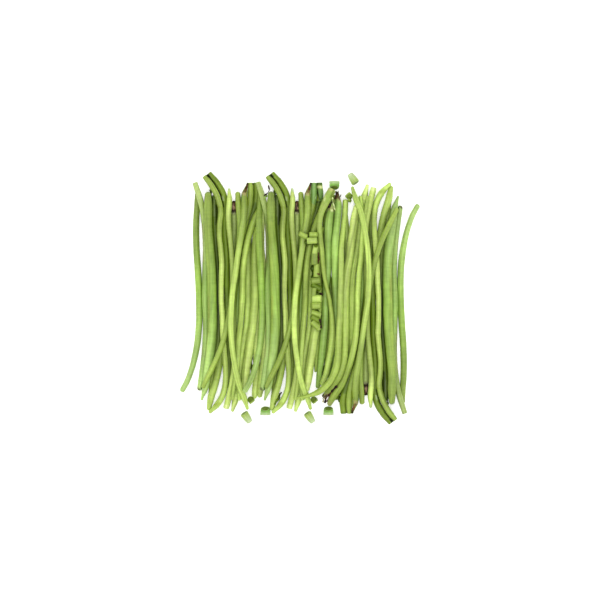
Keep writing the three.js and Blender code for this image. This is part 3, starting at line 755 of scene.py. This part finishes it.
def laid(points, faces):
    """Keeps a piece's surface, for the threads and strips that lie on it later."""
    start = sum(len(part) for part in laid_points)
    laid_points.append(points)
    laid_faces.extend(tuple(start + corner for corner in face) for face in faces)


SIDES = 26
SUTURE_CROWDING = 0.36  # draws the sides of the mesh together at the two sutures
SUTURE_WIDTH = 0.17
END_LENGTHS = {"cut": 0.12, "round": 0.95}  # length of an end's rounding, in radii
CUT_END_SIZE = 0.86  # size of a cut face, as a share of the pod's
THINNEST = 0.4 * MM
THINNEST_SKIN = 0.25 * MM
LEAST_CLOSING = 0.0004  # keeps the end rings from a size of 0
TWIST, TWIST_LENGTH = 1.2, 0.11  # how far the sutures wind about, and along what length in m
TINT_STOPS = (0.06, 0.5, 0.94)  # where the three tints are, as shares of the length
TINT_DRIFT, DRIFT_LENGTH = 0.06, 0.035
TINT_SPREAD = (0.96, 1.04)
SEED_PITCH = (11.5, 1.6)  # mean and spread, in mm
MOST_SEEDS = 40
SEED_SIZES = (0.5, 1.2)
SEED_SPREAD = 3.4 * MM
SEEDLESS_END = 8 * MM
MEAN_SWELL = 0.35
SWELL_AT_SUTURE = 0.55  # how much of a seed's swelling there is at the sutures
# Heights of the skin's relief
SUTURE_RISE = 0.10 * MM
SKIN_DROP = 0.05 * MM
SKIN_WAVES = 0.22 * MM
WITHERED_WAVES = 1.5 * MM
WITHERED_DROP = 0.2 * MM


def make_pod(name, node, look, centres, radii, seed):
    """A pod along its rings' centres, with seeds, sutures, tints and marks."""
    rng = np.random.default_rng(seed)
    steps = np.linalg.norm(np.diff(centres, axis=0), axis=1)
    knots = np.concatenate([[0], np.cumsum(steps)])
    length = knots[-1]
    top, foot = look["ends"]
    first = radii[0] * END_LENGTHS[top]
    last = radii[-1] * END_LENGTHS[foot]
    along = along_stops(length, first, last)
    centre = through(centres, knots, along)
    radius = np.clip(through(radii, knots, along), THINNEST, None) + SKIN_GROWTH
    share = np.minimum(along / first, (length - along) / last)
    closing = np.sqrt(np.clip(1 - (1 - np.clip(share, 0, 1)) ** 2, LEAST_CLOSING, 1))
    blunt = CUT_END_SIZE + (1 - CUT_END_SIZE) * closing
    closing = np.where((along < first) & (top == "cut"), blunt, closing)
    closing = np.where((along > length - last) & (foot == "cut"), blunt, closing)
    tangent = unit(np.gradient(centre, along, axis=0))
    across = unit(np.cross(tangent, UP))
    upright = np.cross(across, tangent)

    turn = np.linspace(0, 2 * math.pi, SIDES, endpoint=False)
    turn = turn - SUTURE_CROWDING * np.sin(2 * turn)
    twist = rng.uniform(0, math.pi)
    twist = twist + TWIST * np.sin(along / TWIST_LENGTH + rng.uniform(0, PHASE_END))
    angle = turn[None, :] + twist[:, None]
    suture = np.exp(-((np.sin(turn) / SUTURE_WIDTH) ** 2))[None, :] * np.ones((len(along), 1))

    def at_reach(reach):
        return (
            centre[:, None, :]
            + across[:, None, :] * (reach * np.cos(angle))[:, :, None]
            + upright[:, None, :] * (reach * np.sin(angle))[:, :, None]
        )

    smooth = at_reach(radius[:, None] * closing[:, None])
    places = in_table_places(node, smooth[:, :, :2])
    stops = [stop * length for stop in TINT_STOPS]
    tint = np.stack([
        np.interp(along, stops, [surface(colour)[channel] for colour in look["tints"]])
        for channel in range(3)
    ], axis=-1)
    drift = 1 + TINT_DRIFT * np.sin(along / DRIFT_LENGTH + rng.uniform(0, PHASE_END))
    tint = tint * drift[:, None] * rng.uniform(*TINT_SPREAD)
    tint = np.repeat(tint[:, None, :], SIDES, axis=1)
    withered = np.zeros((len(along), SIDES))
    for colour, cover in covers(places, look.get("marks", []) + OWN_MARKS.get(node, [])):
        tint = tint + cover[..., None] * (surface(colour) - tint)
        if colour in DRY:
            withered = np.maximum(withered, cover)

    seeds = np.cumsum(rng.normal(*SEED_PITCH, MOST_SEEDS)) * MM
    swell = np.zeros(len(along))
    for place in seeds[seeds < length - SEEDLESS_END]:
        swell += rng.uniform(*SEED_SIZES) * np.exp(-(((along - place) / SEED_SPREAD) ** 2))
    broad = SWELL_AT_SUTURE + (1 - SWELL_AT_SUTURE) * np.abs(np.sin(turn))[None, :]
    height = look["plump"] * MM * (swell[:, None] - MEAN_SWELL) * broad
    height += SUTURE_RISE * suture - SKIN_DROP
    height += SKIN_WAVES * wavy(rng, along, turn)
    height += withered * (WITHERED_WAVES * wavy(rng, along * 3, turn, 12) - WITHERED_DROP)
    reach = np.clip(radius[:, None] + height, THINNEST_SKIN, None)
    points = at_reach(reach * closing[:, None])
    points[:, :, 2] = np.maximum(points[:, :, 2], LOWEST)

    faces = tube_faces(len(along), SIDES) + cap_faces(len(along), SIDES)
    piece = add_mesh(name, with_ends(points), faces)
    laid(with_ends(points), faces)
    skin = np.stack([
        radius[:, None] * np.cos(turn)[None, :] + rng.uniform(0, PATTERN_SHIFT),
        radius[:, None] * np.sin(turn)[None, :] + rng.uniform(0, PATTERN_SHIFT),
        along[:, None] * np.ones((1, SIDES)),
    ], axis=-1)
    marks = np.stack([withered, suture, np.zeros_like(suture)], axis=-1)
    finish_piece(piece, node, with_ends(tint), with_ends(skin), with_ends(marks))


seed = POD_SEED
for node in sorted(frame["nodes"]):
    kind = node.split("_", 1)[1] if node.split("_")[0] in SHEAF_AXES else node
    if kind not in POD_LOOKS:
        continue
    seed += 1
    look = POD_LOOKS[kind]
    if node in UNDER_ROUTES:
        for i, route in enumerate(UNDER_ROUTES[node]):
            make_pod(f"{node}_{i + 1}_skin", node, look, *rings_of_route(route), seed * 10 + i)
        continue
    centres, radii = rings_of(node)
    if node.startswith("right"):
        centres, radii = centres[::-1], radii[::-1]
    make_pod(f"{node}_skin", node, look, centres, radii, seed)


# ---- Threads and strips, which lie on what is there before them ----
SKY = 0.1  # rays come down from here
THREAD_SIDES = 12
THREAD_PITCH = 0.6 * MM
THREAD_SIZE, THREAD_SWELL, THREAD_SWELL_LENGTH = 0.75, 0.35, 1.7 * MM
THREAD_TIP = 1.2 * MM
TIP_SIZE = 0.05
THREAD_FLATNESS = 0.8  # height as a share of width
THREAD_PHASE_END = 6
ROUGH_THREAD, SMOOTH_THREAD = 0.5, 0.15


def laid_surface():
    """The surface of all pieces so far, for rays to meet."""
    return BVHTree.FromPolygons([tuple(p) for p in np.vstack(laid_points)], laid_faces)


def lie_height(below, x, y):
    """Height of the top of what lies below at a place, or 0 where nothing does."""
    if below is None:
        return 0.0
    hit = below.ray_cast(Vector((x, y, SKY)), Vector((0, 0, -1)))[0]
    return hit.z if hit is not None else 0.0


def add_thread(name, node, below, route, radius, colour, seed):
    """A thread or strip along a route in plan, over what is below, or on the floor. The
    route and the radius are in mm."""
    rng = np.random.default_rng(seed)
    table = (np.array(route, float) + BUNCH_SHIFT) * MM
    knots = np.concatenate([[0], np.cumsum(np.linalg.norm(np.diff(table, axis=0), axis=1))])
    along = np.linspace(0, knots[-1], max(8, int(knots[-1] / THREAD_PITCH)))
    plan = through(table, knots, along) if len(table) > 2 else np.column_stack([
        np.interp(along, knots, table[:, 0]), np.interp(along, knots, table[:, 1]),
    ])
    heights = np.array([lie_height(below, *place) for place in plan])
    heights = np.array([heights[max(0, i - 3):i + 4].max() for i in range(len(heights))])
    heights = np.array([heights[max(0, i - 2):i + 3].mean() for i in range(len(heights))])
    phase = rng.uniform(0, THREAD_PHASE_END)
    swell = THREAD_SWELL * np.sin(along / THREAD_SWELL_LENGTH + phase)
    thick = radius * MM * (THREAD_SIZE + swell)
    to_tip = np.minimum(along, knots[-1] - along)
    thick *= np.sqrt(np.clip(to_tip / THREAD_TIP, TIP_SIZE, 1))
    centre = np.column_stack([plan, heights + THREAD_FLATNESS * thick])
    tangent = unit(np.gradient(centre, along, axis=0))
    across = unit(np.cross(tangent, UP))
    upright = np.cross(across, tangent)
    turn = np.linspace(0, 2 * math.pi, THREAD_SIDES, endpoint=False)
    rough = ROUGH_THREAD if colour in DRY else SMOOTH_THREAD
    reach = thick[:, None] * (1 + rough * wavy(rng, along * 4, turn, 9))
    points = (
        centre[:, None, :]
        + across[:, None, :] * (reach * np.cos(turn))[:, :, None]
        + upright[:, None, :] * (reach * np.sin(turn))[:, :, None] * THREAD_FLATNESS
    )
    points[:, :, 2] = np.maximum(points[:, :, 2], LOWEST)
    faces = tube_faces(len(along), THREAD_SIDES) + cap_faces(len(along), THREAD_SIDES)
    piece = add_mesh(name, with_ends(points), faces)
    count = len(piece.data.vertices)
    skin = with_ends(points) + rng.uniform(0, PATTERN_SHIFT, 3)
    marks = np.tile([1.0 if colour in DRY else 0.0, 0, 0], (count, 1))
    finish_piece(piece, node, np.tile(surface(colour), (count, 1)), skin, marks)


# Dark strips of painted shade under the row's lengths, which darken the gaps between them. Each has
# its node, route and radius.
ROW_SHADE_STRIPS = [
    ("row_pieces_top", [(5, 67), (12, 65.6), (19, 66)], 2.4),
    (
        "row_pieces_below",
        [(17, 62), (17, 47), (15.6, 37), (16.6, 24), (19.4, 8), (20.4, -4), (19.8, -16), (20, -36)],
        3.3,
    ),
]
for i, (node, route, radius) in enumerate(ROW_SHADE_STRIPS):
    add_thread(f"{node}_row_shade", node, laid_surface(), route, radius, FOREST_SHADE, ROW_SHADE_SEED + i)

# The same on the floor: strips of painted shade in the gaps between pods
GAP_SHADE_STRIPS = [
    ("centre_bean_09", [(-31.4, 131), (-31, 126), (-30.6, 120)], 1.7),
    ("left_bean_09", [(-107.2, 131), (-107, 126), (-106.6, 120)], 1.7),
    ("left_bean_13", [(-58.4, -66), (-58.4, -78), (-58.6, -90)], 1.5),
    ("right_bean_09", [(105.4, -116), (105.2, -122), (105, -128)], 1.4),
    ("under_bean_right", [(47, -114), (46.8, -120), (46.6, -125)], 1.5),
    ("join_bean_3", [(27.4, -77), (27.5, -85), (27.6, -93)], 1.4),
    ("centre_bean_12", [(-2.4, 62), (-2.4, 54), (-2.4, 46)], 1.3),
    ("row_pieces_below", [(26.4, 34), (26.3, 26), (26.6, 17)], 1.5),
]
for i, (node, route, radius) in enumerate(GAP_SHADE_STRIPS):
    add_thread(f"{node}_gap_shade_{i + 1}", node, None, route, radius, FOREST_SHADE, GAP_SHADE_SEED + i)


# ---- Cut lengths ----
CUT_SIDES = 28
RIM_STOPS = ((0, 0.84), (0.02, 0.92), (0.05, 0.97), (0.10, 1.0))  # place and size near a cut
FACE_SHARES = (0.86, 0.5)  # rings on a cut face, as shares of its rim
FACE_RISES = (0.25 * MM, 0.3 * MM)  # how far the inner ring and the middle stand out of it
FLATTENING = 0.02
WAVINESS = (0.01, 0.03)


def make_cut(name, node, cut, middle, turn_degrees, seed):
    """A cut length with rounded rims and a slightly domed face at each end."""
    rng = np.random.default_rng(seed)
    radius, length = cut["radius"] * MM, cut["length"] * MM
    tail_lean, head_lean = cut["cuts"]
    sizes = RIM_STOPS + tuple((stop, 1.0) for stop in np.linspace(0.2, 0.8, 5))
    sizes += tuple((1 - stop, size) for stop, size in RIM_STOPS[::-1])
    turns = np.linspace(0, 2 * math.pi, CUT_SIDES, endpoint=False)
    waviness = rng.uniform(*WAVINESS)
    phase = rng.uniform(0, PHASE_END)
    rows = []
    for stop, size in sizes:
        reach = radius * (1 + (cut.get("taper", 1) - 1) * stop) * size
        wave = waviness * math.sin(7 * stop + phase)
        reach = reach * (1 + FLATTENING * np.cos(2 * turns + phase) + wave)
        height = reach * np.sin(turns)
        tail = -length / 2 + tail_lean * height
        head = length / 2 - head_lean * height
        x = tail * (1 - stop) + head * stop
        rows.append(np.column_stack([x, -reach * np.cos(turns), height]))
    body = np.array(rows)
    faces = tube_faces(len(sizes), CUT_SIDES)
    skin_faces = len(faces)
    points = [body.reshape(-1, 3)]
    shares = np.repeat([stop for stop, _ in sizes], CUT_SIDES)[:, None]
    tail_skin, head_skin = (surface(colour) for colour in cut["skin"])
    tints = [tail_skin * (1 - shares) + head_skin * shares]
    tints[0][:CUT_SIDES] = tints[0][-CUT_SIDES:] = surface(cut["rim"])
    for ring, sign, colour in ((0, -1, cut["faces"][0]), (len(sizes) - 1, 1, cut["faces"][1])):
        rim = body[ring]
        centre = rim.mean(0)
        start = sum(len(part) for part in points)
        inner_rings = [centre + (rim - centre) * share for share in FACE_SHARES]
        inner_rings[1] += [sign * FACE_RISES[0], 0, 0]
        pole = centre + np.array([sign * FACE_RISES[1], 0, 0])
        points.append(np.vstack([*inner_rings, pole]))
        tints.append(np.tile(surface(colour), (len(points[-1]), 1)))
        starts = [ring * CUT_SIDES]
        starts += [start + level * CUT_SIDES for level in range(len(FACE_SHARES))]
        for outer, inner in zip(starts, starts[1:] + [None]):
            for side in range(CUT_SIDES):
                after = (side + 1) % CUT_SIDES
                if inner is None:
                    face = (outer + side, outer + after, start + len(FACE_SHARES) * CUT_SIDES)
                else:
                    face = (outer + side, outer + after, inner + after, inner + side)
                faces.append(face[::-1] if sign < 0 else face)
    points, tints = np.vstack(points), np.vstack(tints)
    turn = math.radians(turn_degrees)
    cosine, sine = math.cos(turn), math.sin(turn)
    turned = points[:, :2] @ np.array([[cosine, sine], [-sine, cosine]])
    placed = np.column_stack([turned + middle[:2], points[:, 2] + middle[2]])
    placed[:, 2] = np.maximum(placed[:, 2], LOWEST)
    piece = add_mesh(name, placed, faces)
    laid(placed, faces)
    skin = points[:, [1, 2, 0]] + rng.uniform(0, PATTERN_SHIFT, 3)
    finish_piece(piece, node, tints, skin, np.zeros((len(points), 3)))
    piece.data.materials.append(CUT_FLESH)
    looks = [0] * skin_faces + [1] * (len(faces) - skin_faces)
    piece.data.polygons.foreach_set("material_index", looks)


for sheaf, axis in SHEAF_AXES.items():
    for i, (kind, cut) in enumerate(SHEAF_CUTS.items()):
        node = f"{sheaf}_{kind}"
        low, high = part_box(node)
        x, y, angle = cut["x"] + axis, cut["y"], cut["angle"]
        if sheaf == "right":
            x, y, angle = axis - cut["x"], TURNED_MIDDLE - cut["y"], angle + 180
        plan = (np.array([x, y]) + BUNCH_SHIFT) * MM
        cut = dict(cut, radius=cut["radius"] + SKIN_GROWTH / MM)
        middle = [*plan, (low[2] + high[2]) / 2]
        make_cut(f"{node}_skin", node, cut, middle, angle, SHEAF_CUT_SEED + i)

for node, cuts in ROW_CUTS.items():
    points, _ = merged(node)
    for i, (cut, (skin, face)) in enumerate(zip(cuts, ROW_SKINS[node])):
        plan = (np.array([cut["x"], cut["y"]]) + BUNCH_SHIFT) * MM
        near = np.linalg.norm(points[:, :2] - plan, axis=1) < cut["length"] / 2 * MM
        half_height = cut["radius"] * MM * math.cos(math.pi / CUT_SIDES_IN_SOLID)
        middle = [*plan, points[near, 2].max() - half_height]
        look = dict(cut, radius=cut["radius"] - ROW_GAP, skin=(skin, skin), faces=(skin, face))
        look["rim"] = skin
        make_cut(f"{node}_{i + 1}_skin", node, look, middle, cut["angle"], ROW_CUT_SEED + i)


# ---- Withered remains ----
# Each is its node, its route, its radius in mm and its colour
REMAINS = [
    ("right_bean_13", [(43.8, -104.4), (39.6, -109.2), (34.4, -115)], 2.0, DEAD),
    ("right_bean_13", [(38, -112), (33.4, -116.6), (29.8, -121.4)], 1.8, RUSSET),
    ("right_bean_13", [(33, -115), (29, -118.4), (26.4, -120.4)], 1.1, SOOT),
    ("right_bean_13", [(32.6, -117), (30.4, -121.4), (29.6, -126)], 1.3, DEAD),
    ("right_bean_11", [(35.4, -116), (33.6, -120.6), (31.4, -124.4)], 1.1, ASH),
    ("right_bean_13", [(31, -117.6), (28, -121.6), (27.2, -125)], 0.9, BEIGE),
    ("centre_bean_09", [(-43.4, 122.4), (-40, 125.4), (-37.4, 129), (-38.2, 136.2)], 0.8, DEAD),
    ("centre_bean_08", [(-43, 119), (-39.4, 123.4)], 2.0, GREEN),
    ("centre_bean_10", [(-21.8, -113), (-25.8, -114.8)], 1.3, DEAD),
    # This moss green strand is painted shade, a dark thing in the shadow between the feet of the
    # pods
    ("centre_bean_10", [(-23.6, -114.4), (-27, -120.4), (-30.6, -127.4)], 2.4, MOSS),
    ("join_bean_2", [(41.4, 119), (43.2, 123), (43, 128.6)], 1.3, DEAD),
    ("join_bean_2", [(46.6, 129.4), (44.6, 124), (42.2, 118.4)], 0.8, RUSSET),
    ("join_bean_2", [(49.4, 124.4), (47.4, 121), (46.6, 118.6)], 0.9, SOOT),
    ("join_bean_2", [(40.8, 121), (42.6, 120)], 0.9, BEIGE),
    ("join_bean_1", [(38.6, 116), (36, 112), (33.8, 108.4)], 1.7, DEAD),
    ("join_bean_1", [(38.6, 121), (39.6, 113), (42, 105)], 1.1, CREAM),
    ("join_bean_4", [(56.6, 119.6), (60.6, 116)], 2.2, LEAF),
    ("row_pieces_below", [(22, 55), (21.6, 47.6), (21.4, 41)], 1.5, RUSSET),
    ("row_pieces_below", [(20, 29.6), (23.6, 28.4)], 1.3, RUSSET),
    ("row_pieces_below", [(22, 6.4), (27, 4.4)], 1.9, DEAD),
    ("row_pieces_below", [(23.4, -24.6), (24.8, -30), (25, -36)], 1.3, DEAD),
]
below = laid_surface()
for i, (node, route, radius, colour) in enumerate(REMAINS):
    add_thread(f"{node}_remains_{i + 1}", node, below, route, radius, colour, REMAINS_SEED + i)
